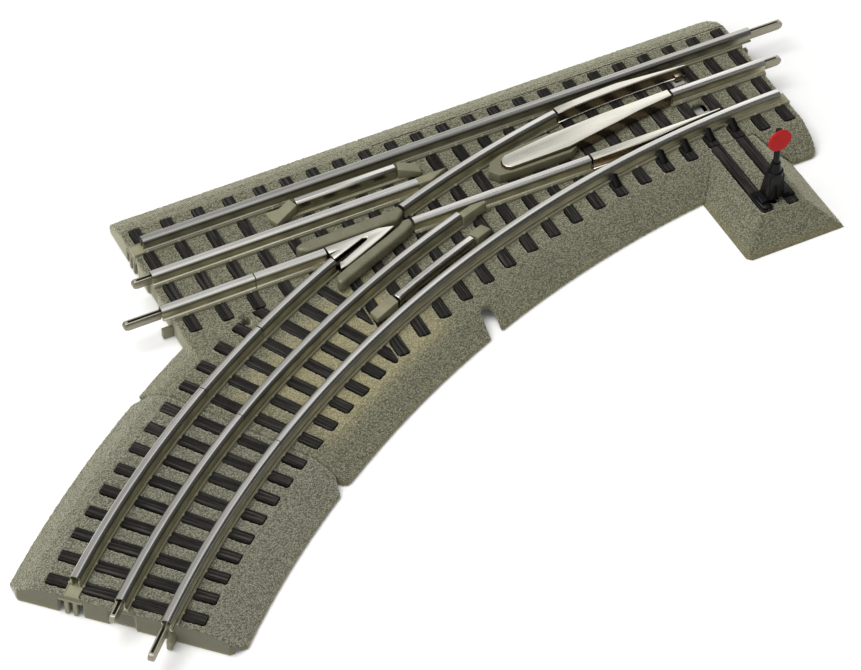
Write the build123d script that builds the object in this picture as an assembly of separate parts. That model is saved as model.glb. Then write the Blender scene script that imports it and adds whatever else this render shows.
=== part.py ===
from build123d import *
import os
from math import asin, cos, degrees, radians, sin, sqrt, tan

# A three-rail O-gauge left-hand turnout on a moulded roadbed.  Millimetres, +Z up.
# The origin is on the centre line at the points end, on the table.  The straight route
# runs from there along -X, the branch bends away towards -Y, and +Y is the far side.

# ---------------------------------------------------------------- driving dimensions
INCH = 25.4
CURVE_R = 18 * INCH            # centre-line radius of the branch
LENGTH = 10 * INCH             # length of the straight route
SWITCH_ANGLE = 33.75           # where the moulded switch ends and the end section starts
TOTAL_ANGLE = 45.0             # the branch with its end section
GAUGE = 31.75                  # between the inner faces of the running rails
DECK_Z = 9.2                   # top of the ballast
TIE_Z = 9.7                    # top of the ties
SEAT_Z = 10.0                  # top of the smooth seats under the rails
RAIL_Z = 15.0                  # top of the rails
THROW_ANGLE = 5.2              # swing of each point rail
TARGET_ANGLE = 90.0            # turn of the signal target

# ---------------------------------------------------------------- derived dimensions
HEAD_W = 3.7                   # width of a rail head
RAIL_Y = (GAUGE + HEAD_W) / 2  # centre line to running rail centre
SHEET = 0.4                    # rolled sheet of the hollow rails
STAGGER = 4.0                  # how far a left-hand rail stands out at an open end
STAGGER_DEG = degrees(STAGGER / CURVE_R)
GAP = 0.4                      # insulating gap between two rail lengths
WALL = 1.8                     # roadbed side walls
DECK_T = 2.0                   # roadbed deck
BASE_HALF = 42.5               # half width of the roadbed on the table
DECK_HALF = 29.2               # half width of its flat top
SHOULDER_OUT = 5.2             # how much wider it is at its shoulder
SHOULDER_Z = 7.4
KERB_Z = 1.7                   # height of the upright foot
TIE_HALF = 28.4
TIE_W = 4.3
TIE_PITCH = 10.8               # ties of the points and closure zone
LEG_PITCH = 12.45              # ties of the through leg
CURVE_PITCH = 1.25             # ties of the end section, in degrees
SWITCH_PITCH = 1.298           # ties of the moulded part of the branch, in degrees
FIT = 0.15                     # moulded parts that drop into one another
SEAT_HALF = 2.7                # half width of a rail seat
AXIS = Axis((0, -CURVE_R, 0), (0, 0, 1))
HEEL_X = -84.0                 # heels of both point rails
PIVOT_X = HEEL_X + 2.2         # their pivots
TIP_X = -28.5                  # tips of the point rails
BAR_X = -31.6                  # line of the throw bar
THROW = (BAR_X - PIVOT_X) * tan(radians(THROW_ANGLE))
MAST_X = -32.0                 # the target's mast
MAST_Y = -62.0
CRANK_R = THROW / 2 / sin(radians(TARGET_ANGLE / 2))


# ---------------------------------------------------------------- helpers
def on_curve(angle, offset):
    """A plan point at an angle along the branch and an offset from its centre line."""
    r = CURVE_R + offset
    return (-r * sin(radians(angle)), r * cos(radians(angle)) - CURVE_R)


def section(points):
    """A face across the track, from (offset, height) points."""
    return Plane.YZ * make_face(Polyline(*points, close=True))


def straight_bar(points, y, x0, x1):
    return Pos(x0, y, 0) * extrude(section(points), amount=x1 - x0)


def curved_bar(points, offset, a0, a1):
    bar = revolve(Pos(0, offset, 0) * section(points), AXIS, a1 - a0)
    return bar.rotate(AXIS, a0)


def prism(points, z0, z1):
    return Pos(0, 0, z0) * extrude(make_face(Polyline(*points, close=True)), amount=z1 - z0)


def slab(x0, x1, y0, y1, z0, z1):
    return Pos((x0 + x1) / 2, (y0 + y1) / 2, (z0 + z1) / 2) * Box(x1 - x0, y1 - y0, z1 - z0)


def corner_cut(x, y, out_x, out_y, r):
    """What a rounded upright corner at (x, y) loses; it points towards (out_x, out_y)."""
    inner_x = x - out_x * r
    inner_y = y - out_y * r
    side = r + 1
    block = Pos(inner_x + out_x * side / 2, inner_y + out_y * side / 2, 9) * Box(side, side, 20)
    return block - Pos(inner_x, inner_y, 9) * Cylinder(r, 22)


def bevel_cut(x, y, out_x, out_y, leg):
    """What an upright corner at (x, y) loses to a 45 degree bevel."""
    reach = leg + 1
    beyond = (x + out_x, y + out_y)
    return prism([(x - out_x * reach, y + out_y), beyond, (x + out_x, y - out_y * reach)], -1, 20)


def save(name, *solids):
    """One file for one sub-part, as loose solids."""
    bodies = [s for shape in solids for s in shape.solids()]
    shape = bodies[0] if len(bodies) == 1 else Compound(children=bodies)
    shape.label = name
    export_step(shape, f"parts/{name}.step")


os.makedirs("parts", exist_ok=True)

# ---------------------------------------------------------------- rail sections
FOOT_HALF = 2.1
HEAD_HALF = HEAD_W / 2
WEB_HALF = 1.5


def rail_section(foot=FOOT_HALF, base=SEAT_Z):
    """A rail rolled from sheet: foot flanges, hollow web and hollow rounded head."""
    top = RAIL_Z
    outer = [
        (foot, base),
        (foot, base + 0.45),
        (WEB_HALF + 0.35, base + 0.8),
        (WEB_HALF, base + 1.5),
        (WEB_HALF, base + 2.7),
        (HEAD_HALF, base + 3.3),
        (HEAD_HALF, top - 0.6),
        (HEAD_HALF - 0.25, top - 0.2),
        (HEAD_HALF - 0.8, top),
    ]
    inner = [
        (WEB_HALF - SHEET, base),
        (WEB_HALF - SHEET, base + 2.8),
        (HEAD_HALF - SHEET, base + 3.5),
        (HEAD_HALF - SHEET, top - 0.8),
        (HEAD_HALF - 1.0, top - SHEET),
    ]
    loop = outer + [(-u, z) for u, z in reversed(outer)]
    hollow = [(-u, z) for u, z in inner] + [(u, z) for u, z in reversed(inner)]
    return loop + hollow


def rail(y, x0, x1):
    return straight_bar(rail_section(), y, x0, x1)


def curved_rail(offset, a0, a1):
    return curved_bar(rail_section(), offset, a0, a1)


# ---------------------------------------------------------------- fixed rails
FROG_X = -193.0                # where the through rail meets the frog plate
FROG_DEG = 23.9                # where the branch rail meets it
WING_X = -158.0                # start of the through closure rail
WING_DEG = 19.5                # start of the branch closure rail
CUT_X = -221.5                 # insulated cut in the through rail
CUT_DEG = 29.05                # insulated cut in the branch rail
HEEL_GAP = 0.9
HEEL_DEG = degrees(asin(-HEEL_X / (CURVE_R + RAIL_Y)))
HEEL_GAP_DEG = degrees(HEEL_GAP / (CURVE_R + RAIL_Y))
CENTRE_X = -147.4              # end of the through centre rail
CENTRE_DEG = 18.05             # end of the branch centre rail
WEDGE_X = -40.2                # end of the centre rail at the points

save("far_stock_rail", rail(RAIL_Y, -LENGTH + STAGGER, STAGGER))
save("near_stock_rail", curved_rail(-RAIL_Y, STAGGER_DEG, SWITCH_ANGLE + STAGGER_DEG - 0.02))
save("through_centre_rail", rail(0, -LENGTH, CENTRE_X))
save("points_centre_rail", rail(0, WEDGE_X, 0))
save("branch_centre_rail", curved_rail(0, CENTRE_DEG, SWITCH_ANGLE - 0.02))
save("through_end_rail", rail(-RAIL_Y, -LENGTH - STAGGER, CUT_X - GAP / 2))
save("through_frog_rail", rail(-RAIL_Y, CUT_X + GAP / 2, FROG_X - GAP))
save("branch_frog_rail", curved_rail(RAIL_Y, FROG_DEG + 0.05, CUT_DEG - 0.03))
save(
    "branch_end_rail",
    curved_rail(RAIL_Y, CUT_DEG + 0.03, SWITCH_ANGLE - STAGGER_DEG - 0.02),
)
save("through_closure_rail", rail(-RAIL_Y, WING_X, HEEL_X - HEEL_GAP))
save("branch_closure_rail", curved_rail(RAIL_Y, HEEL_DEG + HEEL_GAP_DEG, WING_DEG))
save(
    "end_section_outer_rail",
    curved_rail(RAIL_Y, SWITCH_ANGLE - STAGGER_DEG + 0.02, TOTAL_ANGLE - STAGGER_DEG),
)
save("end_section_centre_rail", curved_rail(0, SWITCH_ANGLE + 0.02, TOTAL_ANGLE))
save(
    "end_section_inner_rail",
    curved_rail(-RAIL_Y, SWITCH_ANGLE + STAGGER_DEG + 0.02, TOTAL_ANGLE + STAGGER_DEG),
)

# ---------------------------------------------------------------- joiner pins
PIN_W = 2.0                    # the blade fits inside the hollow of a rail
PIN_H = 3.5
PIN_IN = 7.0                   # length gripped inside the rail
LONG_PIN = 14.5
SHORT_PIN = 7.5
PIN_Z = RAIL_Z - SHEET - 0.85


def pin(length):
    """A blade folded into a trough; it points along +X from a rail's end."""
    low = PIN_Z - PIN_H
    side = Polyline(
        (-PIN_IN, low + 1.6),
        (-0.3, low + 1.6),
        (0.4, low),
        (length - 1.7, low),
        (length - 0.5, low + 0.5),
        (length, low + 1.4),
        (length, PIN_Z - 0.9),
        (length - 0.8, PIN_Z),
        (-PIN_IN, PIN_Z),
        close=True,
    )
    blade = extrude(Plane.XZ * make_face(side), amount=PIN_W / 2, both=True)
    fold = slab(-PIN_IN - 1, length - 1.8, -PIN_W / 2 + 0.55, PIN_W / 2 - 0.55, low + 0.7, PIN_Z + 1)
    return blade - fold


def end_frame(offset, extra):
    """The placement of a pin at the end of a branch rail, pointing along the track."""
    angle = TOTAL_ANGLE + degrees(extra / (CURVE_R + offset))
    x, y = on_curve(angle, offset)
    return Pos(x, y, 0) * Rot(0, 0, 180 + angle)


save(
    "long_joiner_pins",
    Pos(STAGGER, RAIL_Y, 0) * pin(LONG_PIN),
    Pos(-LENGTH - STAGGER, -RAIL_Y, 0) * Rot(0, 0, 180) * pin(LONG_PIN),
    end_frame(-RAIL_Y, STAGGER) * pin(LONG_PIN),
)
save(
    "short_joiner_pins",
    pin(SHORT_PIN),
    Pos(-LENGTH, 0, 0) * Rot(0, 0, 180) * pin(SHORT_PIN),
    end_frame(0, 0) * pin(SHORT_PIN),
)

# ---------------------------------------------------------------- roadbed
def bed_section(inset):
    """Half an outline of the roadbed; the inset gives the hollow inside."""
    drop = inset * DECK_T / WALL
    low = -1.0 if inset else 0.0
    return [
        (BASE_HALF - inset, low),
        (BASE_HALF - inset, KERB_Z - inset * 0.3),
        (DECK_HALF + SHOULDER_OUT - inset, SHOULDER_Z - drop * 0.9),
        (DECK_HALF - inset, DECK_Z - drop),
    ]


BLOCK_X = -31.25               # centre line of the stand's platform
BLOCK_W = 41.5
BLOCK_END = -79.5              # its near edge
BLOCK_SEAM = -TIE_HALF - 0.3   # its seam with the moulded switch
BLOCK_REACH = 10.8             # how far its sides lean in


def bed_block(inset, spread=0.0):
    """The stand's platform: a frustum that leans in like the roadbed's sides."""
    low = -1.0 if inset else 0.0
    top = DECK_Z - inset * DECK_T / WALL
    length = BLOCK_SEAM - BLOCK_END
    reach = BLOCK_REACH
    base = Rectangle(BLOCK_W - 2 * inset + 2 * spread, length - inset)
    crown = Rectangle(BLOCK_W - 2 * reach - 2 * inset + 2 * spread, length - reach - inset)
    base = Pos(BLOCK_X, BLOCK_SEAM - (length - inset) / 2, low) * base
    crown = Pos(BLOCK_X, BLOCK_SEAM - (length - reach - inset) / 2, top) * crown
    return loft([base.face(), crown.face()])


FILL_X = -LENGTH


def fill(inset):
    """The flat web between the through leg and the branch, at the through end."""
    low = -1.0 if inset else 0.0
    top = DECK_Z - inset * DECK_T / WALL
    x = FILL_X + inset
    corner = [(x, -20 - inset), (x, -42.3 + inset)]
    edge = [on_curve(a, DECK_HALF - inset - 0.4) for a in (30, 29, 28)]
    return prism(corner + edge + [(-205, -20 - inset)], low, top)


def bed(inset):
    """The solid outline of the moulded switch, or of the hollow inside it."""
    wall = [(-u, z) for u, z in bed_section(inset)]
    outline = bed_section(inset) + list(reversed(wall))
    leg = straight_bar(outline, 0, -LENGTH + inset, -inset)
    turn = degrees(inset / CURVE_R)
    branch = curved_bar(outline, 0, turn, SWITCH_ANGLE - turn)
    return leg + branch + fill(inset)


def seats(half, low, high):
    """The smooth strips that carry the rails of the moulded switch."""
    bar = [(-half, low), (half, low), (half, high - 0.2), (half - 0.3, high)]
    bar += [(0.3 - half, high), (-half, high - 0.2)]
    strips = [straight_bar(bar, RAIL_Y, -LENGTH, 0)]
    strips.append(straight_bar(bar, 0, -LENGTH, CENTRE_X + 6))
    strips.append(straight_bar(bar, 0, WEDGE_X - 1, 0))
    strips.append(straight_bar(bar, -RAIL_Y, -LENGTH, FROG_X))
    strips.append(straight_bar(bar, -RAIL_Y, WING_X, HEEL_X - HEEL_GAP / 2))
    strips.append(curved_bar(bar, -RAIL_Y, 0, SWITCH_ANGLE))
    strips.append(curved_bar(bar, 0, CENTRE_DEG - 0.8, SWITCH_ANGLE))
    strips.append(curved_bar(bar, RAIL_Y, FROG_DEG, SWITCH_ANGLE))
    strips.append(curved_bar(bar, RAIL_Y, HEEL_DEG + HEEL_GAP_DEG / 2, WING_DEG - 0.25))
    return strips


def leg_ties():
    """Centres of the ties across the straight route, from the through end."""
    leg = [-LENGTH + 5.2 + LEG_PITCH * k for k in range(5)]
    return leg + [leg[-1] + TIE_PITCH * k for k in range(1, 19)]


def near_end(x):
    """The near end of a straight tie: it reaches past the branch's inner rail."""
    if x < -195:
        return -TIE_HALF
    r = CURVE_R - TIE_HALF
    end = sqrt(r * r - x * x) - CURVE_R
    under_stand = abs(x - BLOCK_X) < 7
    return max(end, BLOCK_SEAM + 0.3) if under_stand else end


LONG_TIES = (19, 20)           # the two ties under the stand
LONG_END = MAST_Y - 5.3
TIE_LOW = DECK_Z - DECK_T - 0.4
RUNNER_Z = TIE_LOW - 0.8       # underside of the strips that join the ties
END_TIES = 9
BRANCH_TIES = 16


def tie_bar(x, y0, y1, grow, low, top):
    return slab(x - TIE_W / 2 - grow, x + TIE_W / 2 + grow, y0 - grow, y1 + grow, low, top)


def straight_ties(grow, low, top):
    return [tie_bar(x, near_end(x), TIE_HALF, grow, low, top) for x in leg_ties()]


def stand_ties(grow, low, top):
    """The two ties of the stand's platform, in line with those of the track."""
    xs = [leg_ties()[k] for k in LONG_TIES]
    return [tie_bar(x, LONG_END, BLOCK_SEAM - 0.2 - grow, grow, low, top) for x in xs]


def curved_ties(first, last, grow, low, top):
    """Radial ties of the branch, counted from its open end."""
    bars = []
    for k in range(first, last):
        angle = TOTAL_ANGLE - CURVE_PITCH * (k + 0.5)
        if k >= END_TIES:
            angle = SWITCH_ANGLE - 0.8 - SWITCH_PITCH * (k - END_TIES)
        bar = tie_bar(0, -TIE_HALF, TIE_HALF, grow, low, top)
        bars.append(bar.rotate(AXIS, angle))
    return bars


def switch_ties(grow, low, top):
    """Straight ties, and branch ties cut off where the straight ones lie."""
    room = TIE_HALF + 0.8 - grow
    region = slab(-LENGTH - 60, leg_ties()[5] - TIE_W / 2 - 1.2 + grow, -150, -room, low, top)
    bars = straight_ties(grow, low, top)
    bars += [bar & region for bar in curved_ties(END_TIES, BRANCH_TIES, grow, low, top)]
    return bars


def joined(first, *rest):
    return first.fuse(*rest)


def runner(offset, a0, a1, half=1.0):
    strip = [(-half, RUNNER_Z), (half, RUNNER_Z), (half, TIE_LOW + 0.1), (-half, TIE_LOW + 0.1)]
    return curved_bar(strip, offset, a0, a1)


def straight_runner(y, x0, x1, half=1.0):
    return slab(x0, x1, y - half, y + half, RUNNER_Z, TIE_LOW + 0.1)


# ---------------------------------------------------------------- points mechanism sizes
BAR_Z = (3.9, 5.7)             # throw bar, lying in the hollow
BAR_HALF = 2.4
NEAR_SLOT = (-20.4, -4.9)      # openings in the deck for the bar's two uprights
FAR_SLOT = (6.9, 17.3)
SLOT_HALF = 2.8
UPRIGHT_TOP = 9.0
COVER_Z = (1.0, 2.2)
COVER_X = (BAR_X - 13.2, BAR_X + 13.2)
COVER_Y = (-62.0, 26.0)
BOSS_R = 2.1
SCREW_R = 0.95
SCREW_SITES = [(x, y) for x in (-42.4, -20.8) for y in (22.5, -4.0, -50.0)]
POST_X = -231.0                # the screw post that holds the turnout to a board
POST_Y = -31.2
POST_R = 1.75
POST_HEAD_R = 3.2
POST_FLOOR = 0.3
NOTCH_X = -151.2               # wire notch in the near edge
NOTCH_R = 2.75
NOTCH_Y = -64.5
SHOULDER_X = -152.0            # end of the far shoulder that lifts off
SHOULDER_Y = DECK_HALF + 0.6
CORNER_R = 3.2                 # rounded upright corners of the roadbed
CORNER_LEG = 4.5               # bevelled upright corners of the end section
FORK_SPAN = (-22.7, -13.9)     # notch in each open end for the forked latch
FORK_DEPTH = 2.2
FORK_TOP = 7.4
SOCKET_SPAN = (-4.6, 4.9)      # shallow socket under the centre rail
SOCKET_DEPTH = 0.9


def end_cuts():
    """What the moulding loses at an open end that faces along +X."""
    fork = slab(-FORK_DEPTH, 1, *FORK_SPAN, -1, FORK_TOP)
    socket = slab(-SOCKET_DEPTH, 1, *SOCKET_SPAN, -1, FORK_TOP)
    return fork, socket


OPEN_ENDS = {
    "points": Pos(0, 0, 0),
    "through": Pos(-LENGTH, 0, 0) * Rot(0, 0, 180),
    "branch": end_frame(0, 0),
}

# ---------------------------------------------------------------- moulded switch
hollow = bed(WALL)
switch_seats = seats(SEAT_HALF, DECK_Z - 0.5, SEAT_Z)
seat_zone = joined(*seats(SEAT_HALF + 0.02, TIE_Z - 0.7, SEAT_Z + 2))
windows = joined(*switch_ties(FIT, TIE_LOW - 0.1, TIE_Z + 1)) - seat_zone
bosses = [Pos(x, y, (COVER_Z[1] + 8) / 2) * Cylinder(BOSS_R, 8 - COVER_Z[1]) for x, y in SCREW_SITES]
boss_holes = [Pos(x, y, 4.5) * Cylinder(SCREW_R, 5.2) for x, y in SCREW_SITES]
post = Pos(POST_X, POST_Y, (POST_FLOOR + 8) / 2) * Cylinder(4.0, 8 - POST_FLOOR)
post_hole = Pos(POST_X, POST_Y, 5) * Cylinder(POST_R, 12)
post_head = Pos(POST_X, POST_Y, DECK_Z - 0.6) * Cone(POST_R, POST_HEAD_R, 1.6)

shell = (bed(0) - hollow).fuse(*switch_seats) - windows
track_bosses = [b for b, site in zip(bosses, SCREW_SITES) if site[1] > BLOCK_SEAM]
shell = shell.fuse(post, *track_bosses) - joined(*boss_holes) - post_hole - post_head
for low, high in (NEAR_SLOT, FAR_SLOT):
    shell = shell - slab(BAR_X - SLOT_HALF, BAR_X + SLOT_HALF, low, high, 0, 20)
shell = shell - slab(NOTCH_X - NOTCH_R, NOTCH_X + NOTCH_R, NOTCH_Y - 20, NOTCH_Y, -1, 20)
shell = shell - Pos(NOTCH_X, NOTCH_Y, 5) * Cylinder(NOTCH_R, 20)
platform_zone = Pos(0.22, 0, 0) * bed_block(0, 0.45)
inner_zone = slab(BLOCK_X - 10, BLOCK_X + 10, -60, BLOCK_SEAM, -1, DECK_Z - DECK_T)
shell = shell - platform_zone - inner_zone
shell = shell - joined(
    corner_cut(0, -BASE_HALF, 1, -1, CORNER_R),
    corner_cut(0, BASE_HALF, 1, 1, CORNER_R),
    corner_cut(-LENGTH, BASE_HALF, -1, 1, CORNER_R),
    corner_cut(0, -BASE_HALF, -1, -1, CORNER_R).rotate(AXIS, SWITCH_ANGLE),
    *[OPEN_ENDS[name] * cut for name in ("points", "through") for cut in end_cuts()],
)
shoulder_cut = slab(SHOULDER_X, 5, SHOULDER_Y, BASE_HALF + 5, -1, 20)
save("roadbed_shell", shell - shoulder_cut)
save("far_shoulder", shell & slab(SHOULDER_X + 0.3, 0, SHOULDER_Y + 0.2, BASE_HALF + 5, -1, 20))
post_room = Pos(POST_X, POST_Y, 6) * Cylinder(4.3, 12)
tie_strips = [
    straight_runner(4.0, leg_ties()[0], leg_ties()[-1]),
    straight_runner(-7.0, leg_ties()[0], leg_ties()[-1]),
    runner(-9.0, 2.0, 33.0),
    runner(8.0, 23.0, 33.0),
]
keep_out = joined(
    slab(BAR_X - SLOT_HALF - 0.3, BAR_X + SLOT_HALF + 0.3, NEAR_SLOT[0], NEAR_SLOT[1] + 0.3, 0, 20),
    slab(BAR_X - SLOT_HALF - 0.3, BAR_X + SLOT_HALF + 0.3, *FAR_SLOT, 0, 20),
    *[Pos(x, y, 5) * Cylinder(BOSS_R + 0.3, 12) for x, y in SCREW_SITES],
)
under_seats = joined(*seats(SEAT_HALF + 0.12, TIE_Z - 0.8, SEAT_Z + 2))
ties = joined(*switch_ties(0, TIE_LOW, TIE_Z), *tie_strips) - under_seats - keep_out
save("switch_ties", ties - post_room)

# ---------------------------------------------------------------- stand platform
platform_bosses = [b for b, site in zip(bosses, SCREW_SITES) if site[1] < BLOCK_SEAM]
platform = bed_block(0) - bed_block(WALL)
bar_way = slab(BLOCK_X - 9.5, BLOCK_X + 9.5, BLOCK_SEAM - 4, BLOCK_SEAM + 1, -1, DECK_Z - DECK_T)
platform = platform - bar_way - corner_cut(BLOCK_X - BLOCK_W / 2, BLOCK_END, -1, -1, CORNER_R)
platform = platform.fuse(*[b & bed_block(0.9) for b in platform_bosses]) - joined(*boss_holes)
mast_hole = Pos(MAST_X, MAST_Y, 8) * Cylinder(2.6, 6)
platform = platform - joined(*stand_ties(FIT, TIE_LOW - 0.1, TIE_Z + 1)) - mast_hole
save("stand_platform", platform)
stand_strip = slab(leg_ties()[19], leg_ties()[20], -35.0, -33.0, RUNNER_Z + 0.3, TIE_LOW + 0.1)
save("stand_ties", joined(*stand_ties(0, TIE_LOW, TIE_Z), stand_strip))

# ---------------------------------------------------------------- end section of the branch
END_JOINT = degrees(0.15 / CURVE_R)


def end_bed(inset):
    wall = [(-u, z) for u, z in bed_section(inset)]
    outline = bed_section(inset) + list(reversed(wall))
    turn = degrees(inset / CURVE_R)
    return curved_bar(outline, 0, SWITCH_ANGLE + END_JOINT + turn, TOTAL_ANGLE - turn)


def end_seats(half, low, high):
    bar = [(-half, low), (half, low), (half, high - 0.2), (half - 0.3, high)]
    bar += [(0.3 - half, high), (-half, high - 0.2)]
    first = SWITCH_ANGLE + END_JOINT
    return [curved_bar(bar, offset, first, TOTAL_ANGLE) for offset in (RAIL_Y, 0, -RAIL_Y)]


end_zone = joined(*end_seats(SEAT_HALF + 0.02, TIE_Z - 0.7, SEAT_Z + 2))
end_windows = joined(*curved_ties(0, END_TIES, FIT, TIE_LOW - 0.1, TIE_Z + 1)) - end_zone
end_shell = (end_bed(0) - end_bed(WALL)).fuse(*end_seats(SEAT_HALF, DECK_Z - 0.5, SEAT_Z))
end_corners = [
    bevel_cut(0, side * BASE_HALF, out, side, CORNER_LEG).rotate(AXIS, angle)
    for side in (-1, 1)
    for out, angle in ((1, SWITCH_ANGLE + END_JOINT), (-1, TOTAL_ANGLE))
]
end_corners += [OPEN_ENDS["branch"] * cut for cut in end_cuts()]
save("end_section_shell", end_shell - end_windows - joined(*end_corners))
end_strips = [runner(offset, 34.6, 44.2) for offset in (8.0, -9.0)]
end_under = joined(*end_seats(SEAT_HALF + 0.12, TIE_Z - 0.8, SEAT_Z + 2))
end_ties = joined(*curved_ties(0, END_TIES, 0, TIE_LOW, TIE_Z), *end_strips) - end_under
save("end_section_ties", end_ties)

# ---------------------------------------------------------------- track joint latches
TAB_Z = (0.4, 4.4)
TAB_OUT = 4.2
TAB_SPAN = (17.3, 19.2)
PRONG_W = 1.5
PRONG_LOW = 0.2
PRONGS = (-19.7, -16.6)        # centre lines of a fork's two prongs
PROUD = 0.3                    # how far a fork stands out of its notch
LATCH_FIT = 0.05


def fork():
    """Two prongs that hang from a bridge inside the notch of an open end."""
    back = 0.15 - FORK_DEPTH
    bridge = slab(
        back, PROUD, FORK_SPAN[0] + LATCH_FIT, FORK_SPAN[1] - LATCH_FIT,
        FORK_TOP - 1.0, FORK_TOP - LATCH_FIT,
    )
    prongs = [
        slab(back, PROUD, y - PRONG_W / 2, y + PRONG_W / 2, PRONG_LOW, FORK_TOP - 0.5)
        for y in PRONGS
    ]
    return bridge.fuse(*prongs)


def tab():
    """A short tongue that enters the neighbour's fork."""
    return slab(LATCH_FIT, TAB_OUT, *TAB_SPAN, *TAB_Z)


save(
    "track_latches",
    *[place * piece for place in OPEN_ENDS.values() for piece in (fork(), tab())],
)

# ---------------------------------------------------------------- guard rails and frog
GUARD_W = 3.6
GUARD_Y = 10.7
GUARD_X = (-192.1, -151.3)
GUARD_OFF = -11.9
GUARD_DEG = (18.71, 23.92)


def guard_section():
    half = GUARD_W / 2
    low = TIE_Z + 0.1
    return [
        (-half, low), (half, low), (half, RAIL_Z - 0.8), (half - 0.8, RAIL_Z - 0.1),
        (0.8 - half, RAIL_Z - 0.1), (-half, RAIL_Z - 0.8),
    ]


save("far_guard_rail", straight_bar(guard_section(), GUARD_Y, *GUARD_X))
save("near_guard_rail", curved_bar(guard_section(), GUARD_OFF, *GUARD_DEG))


def ramp(x, y, heading, length, drop, width=4.4):
    """A moulded lead-in that falls away from a rail's end, from (x, y) along a heading."""
    low = TIE_Z + 0.1
    top = RAIL_Z - 0.2
    side = Polyline(
        (0.9, low), (length, low), (length, top - drop), (0.9, top), close=True
    )
    solid = extrude(Plane.XZ * make_face(side), amount=width / 2, both=True)
    return Pos(x, y, 0) * Rot(0, 0, heading) * solid


def curve_heading(angle):
    """Heading of the branch, towards its open end."""
    return 180 + angle


guard_start = on_curve(GUARD_DEG[0], GUARD_OFF)
guard_end = on_curve(GUARD_DEG[1], GUARD_OFF)
save(
    "guard_lead_ins",
    ramp(GUARD_X[0], GUARD_Y, 180 + 20, 11.2, 2.6),
    ramp(GUARD_X[1], GUARD_Y, -16, 9.6, 2.6),
    ramp(*guard_end, curve_heading(GUARD_DEG[1]) - 10, 10.6, 2.6),
    ramp(*guard_start, GUARD_DEG[0] + 12, 9.6, 2.6),
)

FROG_TOP = RAIL_Z - 0.25
FROG_LOW = TIE_Z + 0.1
frog_outline = [
    (-192.6, -16.2), (-171.0, -15.9), (-165.2, -17.4), (-172.3, -20.9),
    (-182.3, -25.2), (-188.8, -27.9), (-192.0, -28.4), (-190.6, -24.2),
    (-191.9, -23.6), (-192.6, -20.0),
]
frog_slot = [(-196.0, -24.6), (-178.4, -17.9), (-176.6, -18.4), (-177.5, -19.6), (-190.0, -25.4)]
frog_vee = [(-196.0, -19.9), (-187.9, -19.4), (-196.0, -21.4)]
frog = prism(frog_outline, FROG_LOW, FROG_TOP)
frog = frog - prism(frog_slot, FROG_TOP - 2.4, RAIL_Z) - prism(frog_vee, FROG_TOP - 1.2, RAIL_Z)
save("frog_plate", frog)

wing_far = [
    (-202.2, -11.2), (-199.0, -10.0), (-162.0, -9.7), (-159.9, -8.0), (-158.6, -11.3),
    (-159.8, -12.8), (-162.5, -14.9), (-198.6, -14.9), (-201.5, -13.6),
]
wing_near = [
    (-195.9, -33.9), (-195.0, -31.0), (-190.0, -28.7), (-170.5, -21.0), (-163.6, -17.9),
    (-161.5, -16.2), (-158.6, -16.2), (-158.6, -19.5), (-163.0, -22.0), (-190.0, -33.2),
    (-194.8, -35.2),
]
save("far_wing_rail", prism(wing_far, FROG_LOW, RAIL_Z - 0.1))
save("near_wing_rail", prism(wing_near, FROG_LOW, RAIL_Z - 0.1))

# ---------------------------------------------------------------- centre wedge
wedge_outline = [
    (-112.6, -2.6), (-92.1, -0.1), (-70.2, 1.2), (-41.0, 1.75), (-41.0, -1.9),
    (-55.8, -3.7), (-65.2, -5.4), (-74.6, -6.9), (-88.5, -9.3), (-113.0, -9.4),
    (-114.6, -8.4), (-115.3, -6.3), (-114.6, -4.0),
]
WEDGE_LOW = DECK_Z + 0.9
save("centre_wedge", prism(wedge_outline, WEDGE_LOW, RAIL_Z - 0.05))
rim = [
    (-120.8, -6.4), (-118.6, -2.4), (-113.2, -0.4), (-92.5, 2.0), (-89.5, 0.4),
    (-84.5, -8.4), (-88.5, -10.9), (-112.0, -10.9), (-118.4, -10.2),
]
wedge_room = offset(make_face(Polyline(*wedge_outline, close=True)), amount=0.2)
rim_solid = prism(rim, TIE_Z + 0.03, RAIL_Z - 1.4)
rim_solid = rim_solid - extrude(wedge_room, amount=RAIL_Z)
save("wedge_rim", rim_solid)
centre_ramp = [(CENTRE_X + 0.1, -1.8), (CENTRE_X + 0.1, 1.8), (-134.4, 1.8), (-142.4, -1.8)]
branch_ramp = [(-1.7, SEAT_Z + 0.05), (1.7, SEAT_Z + 0.05), (1.5, RAIL_Z - 0.5), (-1.5, RAIL_Z - 0.5)]
beside_closure = slab(-160, -100, -RAIL_Y - 2.3, 0, 0, 20)
save(
    "centre_rail_ramps",
    prism(centre_ramp, SEAT_Z + 0.05, RAIL_Z - 0.4),
    curved_bar(branch_ramp, -0.9, CENTRE_DEG - 1.5, CENTRE_DEG - 0.02) - beside_closure,
)

# ---------------------------------------------------------------- point rails
POINT_BASE = TIE_Z + 0.12
POINT_CLEAR = 0.12
PIVOT_R = 0.8
HINGE_FIT = 0.05
DRIVE_R = 0.8


def channel_section(grow=0.0, solid=False):
    """An upturned channel with a narrow lip along each foot."""
    half = HEAD_HALF + grow
    lip = 2.2 + grow
    base = POINT_BASE - grow
    top = RAIL_Z - 0.05 + grow
    outer = [
        (lip, base), (lip, base + 0.4), (half, base + 0.5),
        (half, top - 0.3), (half - 0.4, top),
    ]
    loop = outer + [(-u, z) for u, z in reversed(outer)]
    if solid:
        return loop
    web = HEAD_HALF - SHEET
    return loop + [(-web, base), (-web, top - SHEET), (web, top - SHEET), (web, base)]


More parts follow.
